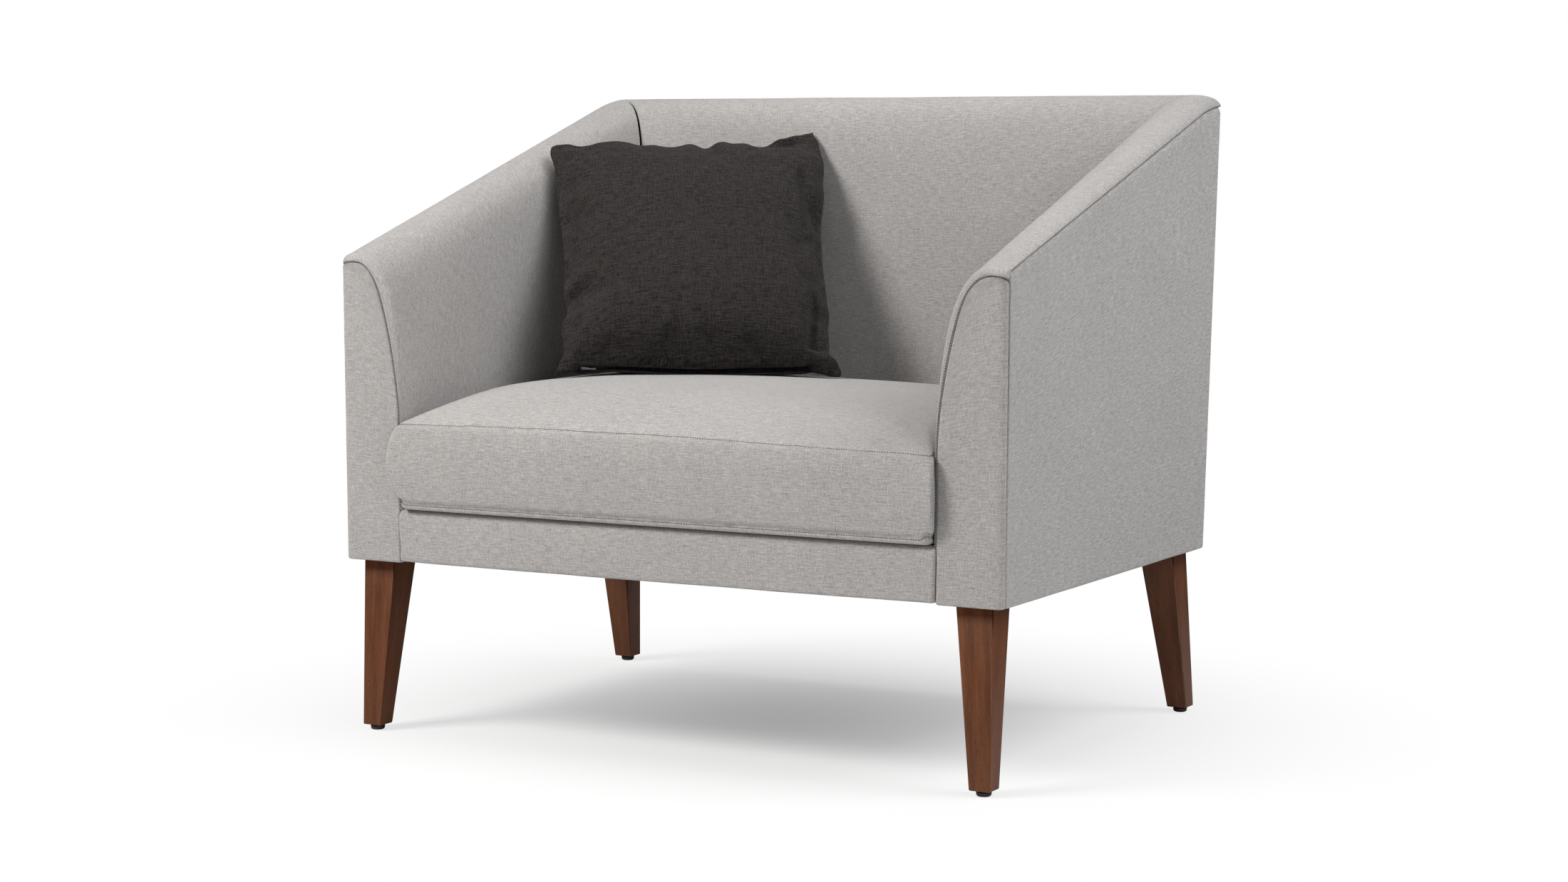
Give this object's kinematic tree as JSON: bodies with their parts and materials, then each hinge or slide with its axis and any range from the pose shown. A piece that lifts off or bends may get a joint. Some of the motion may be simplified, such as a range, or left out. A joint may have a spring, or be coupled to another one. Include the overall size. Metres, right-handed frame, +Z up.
{
  "type": "upholstered armchair",
  "caption": "Padded armchair with sloping sides that flow into a straight back, a loose boxed seat cushion, a loose scatter pillow and splayed tapered wooden legs.",
  "frame": {"origin": "on the floor, under the middle of the chair's bounding box", "axes": "+Z up, +Y towards the back of the chair, +X to the right-hand side of someone who faces the chair"},
  "size_m": [0.9498, 0.693, 0.8295],
  "materials": {
    "linen": "light warm-grey melange linen-look weave, matt",
    "charcoal": "charcoal coarse weave, matt",
    "zip_tape": "woven zip tape with coil teeth",
    "walnut_stain": "walnut-stained beech, satin lacquer",
    "beech": "raw sawn beech",
    "hardboard": "raw hardboard",
    "foam": "polyether foam, matt",
    "webbing": "woven elastic webbing",
    "lining": "spun-bonded black lining cloth",
    "nylon": "dark moulded nylon",
    "zinc": "zinc-plated"
  },
  "bodies": {
    "frame": {"arm_inner_cover_right": "linen", "arm_inner_cover_left": "linen", "arm_outer_cover_right": "linen", "arm_outer_cover_left": "linen", "arm_front_cover_right": "linen", "arm_front_cover_left": "linen", "arm_pad_right": "foam", "arm_pad_left": "foam", "arm_outer_board_right": "hardboard", "arm_outer_board_left": "hardboard", "arm_inner_board_right": "hardboard", "arm_inner_board_left": "hardboard", "arm_top_rail_right": "beech", "arm_top_rail_left": "beech", "front_post_right": "beech", "front_post_left": "beech", "rear_post_right": "beech", "rear_post_left": "beech", "side_rail_right": "beech", "side_rail_left": "beech", "corner_block_front_right": "beech", "corner_block_front_left": "beech", "corner_block_rear_right": "beech", "corner_block_rear_left": "beech", "leg_front_right": "walnut_stain", "leg_front_left": "walnut_stain", "leg_rear_right": "walnut_stain", "leg_rear_left": "walnut_stain", "leg_bolt_front_right": "zinc", "leg_bolt_front_left": "zinc", "leg_bolt_rear_right": "zinc", "leg_bolt_rear_left": "zinc", "glide_front_right": "nylon", "glide_front_left": "nylon", "glide_rear_right": "nylon", "glide_rear_left": "nylon", "back_inner_cover": "linen", "back_outer_cover": "linen", "back_pad": "foam", "back_outer_board": "hardboard", "back_inner_board": "hardboard", "back_top_rail": "beech", "back_lower_rail": "beech", "front_rail": "beech", "rear_rail": "beech", "front_rail_cover": "linen", "seat_webbing": "webbing", "seat_deck": "lining", "dust_cover": "lining"},
    "seat_cushion": {"seat_cushion_cover": "linen", "seat_cushion_core": "foam", "seat_cushion_zip": "zip_tape"},
    "cushion_zip_slider": {"cushion_zip_slider": "zinc"},
    "throw_pillow": {"pillow_cover": "charcoal", "pillow_filling": "foam", "pillow_zip": "zip_tape"},
    "pillow_zip_slider": {"pillow_zip_slider": "zinc"}
  },
  "joints": [
    {"name": "seat_cushion_lift", "type": "slide", "parent": "frame", "child": "seat_cushion", "axis": [0, 0, 1], "range_m": [0, 0.56]},
    {"name": "cushion_zip_slide", "type": "slide", "parent": "seat_cushion", "child": "cushion_zip_slider", "axis": [1, 0, 0], "range_m": [0, 0.39]},
    {"name": "throw_pillow_lift", "type": "slide", "parent": "seat_cushion", "child": "throw_pillow", "axis": [0, 0, 1], "range_m": [0, 0.42]},
    {"name": "pillow_zip_slide", "type": "slide", "parent": "throw_pillow", "child": "pillow_zip_slider", "axis": [0.8331, 0.5526, 0.0254], "range_m": [0, 0.27]}
  ]
}
